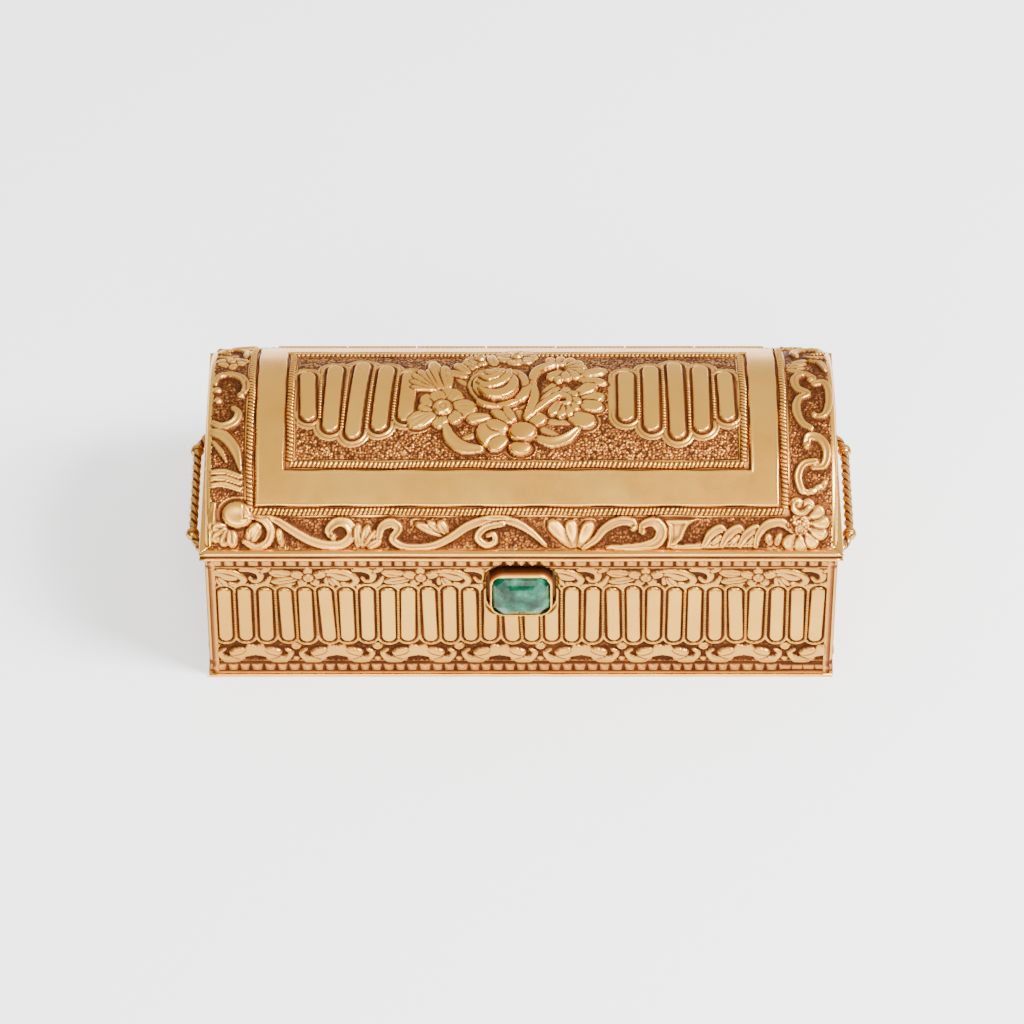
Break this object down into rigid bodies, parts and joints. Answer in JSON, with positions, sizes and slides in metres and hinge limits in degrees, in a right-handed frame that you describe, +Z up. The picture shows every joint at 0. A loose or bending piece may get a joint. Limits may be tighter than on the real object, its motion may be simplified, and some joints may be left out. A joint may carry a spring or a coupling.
{
  "type": "hinged snuff box",
  "caption": "Chest-shaped gold snuff box with chased walls, an arched hinged lid, fixed end handles and a stone-set push button that frees the lid.",
  "frame": {"origin": "middle of the underside, on the surface that the box stands on", "axes": "+X along the length to the right, +Y from the push button to the hinge, +Z up"},
  "size_m": [0.081, 0.0388, 0.031],
  "materials": {
    "chased_gold": "chased relief with dark red-brown patina in the recesses",
    "polished_gold": "polished, lightly worn",
    "plain_gold": "satin inside",
    "handle_gold": "cast, worn bright on the high points",
    "hinge_gold": "drawn tube, satin",
    "collet_gold": "hand-burnished",
    "spring_steel": "blued spring steel",
    "emerald": "step-cut green stone"
  },
  "bodies": {
    "case": {"back_wall": "chased_gold", "base_plate": "polished_gold", "bezel_back": "plain_gold", "bezel_front_left": "plain_gold", "bezel_front_right": "plain_gold", "bezel_left": "plain_gold", "bezel_right": "plain_gold", "body_knuckle_1": "hinge_gold", "body_knuckle_2": "hinge_gold", "body_knuckle_3": "hinge_gold", "body_knuckle_4": "hinge_gold", "foot_moulding_back": "chased_gold", "foot_moulding_front": "chased_gold", "foot_moulding_left": "chased_gold", "foot_moulding_right": "chased_gold", "front_wall": "chased_gold", "hinge_pin": "hinge_gold", "latch_spring": "spring_steel", "left_handle_bar": "handle_gold", "left_handle_front_ball": "handle_gold", "left_handle_front_leg": "handle_gold", "left_handle_rear_ball": "handle_gold", "left_handle_rear_leg": "handle_gold", "left_wall": "chased_gold", "right_handle_bar": "handle_gold", "right_handle_front_ball": "handle_gold", "right_handle_front_leg": "handle_gold", "right_handle_rear_ball": "handle_gold", "right_handle_rear_leg": "handle_gold", "right_wall": "chased_gold", "rim_moulding_back": "chased_gold", "rim_moulding_front": "chased_gold", "rim_moulding_left": "chased_gold", "rim_moulding_right": "chased_gold", "spring_post_left": "spring_steel", "spring_post_right": "spring_steel"},
    "lid": {"flower_spray": "chased_gold", "lid_dome": "chased_gold", "lid_knuckle_1": "hinge_gold", "lid_knuckle_2": "hinge_gold", "lid_knuckle_3": "hinge_gold", "lid_left_end": "chased_gold", "lid_right_end": "chased_gold", "lid_rim_back": "polished_gold", "lid_rim_front": "polished_gold", "lid_rim_left": "polished_gold", "lid_rim_right": "polished_gold", "lid_striker": "plain_gold"},
    "button": {"emerald": "emerald", "stone_collet": "collet_gold", "button_plate": "plain_gold"}
  },
  "joints": [
    {"name": "lid_hinge", "type": "hinge", "parent": "case", "child": "lid", "pos_m": [0, 0.01865, 0.02005], "axis": [-1, 0, 0], "range_deg": [0, 110]},
    {"name": "button_press", "type": "slide", "parent": "case", "child": "button", "axis": [0, 1, 0], "range_m": [0, 0.0008], "stiffness_N_per_m": 1200, "springref_m": -0.0005, "deforming": ["latch_spring"]}
  ]
}
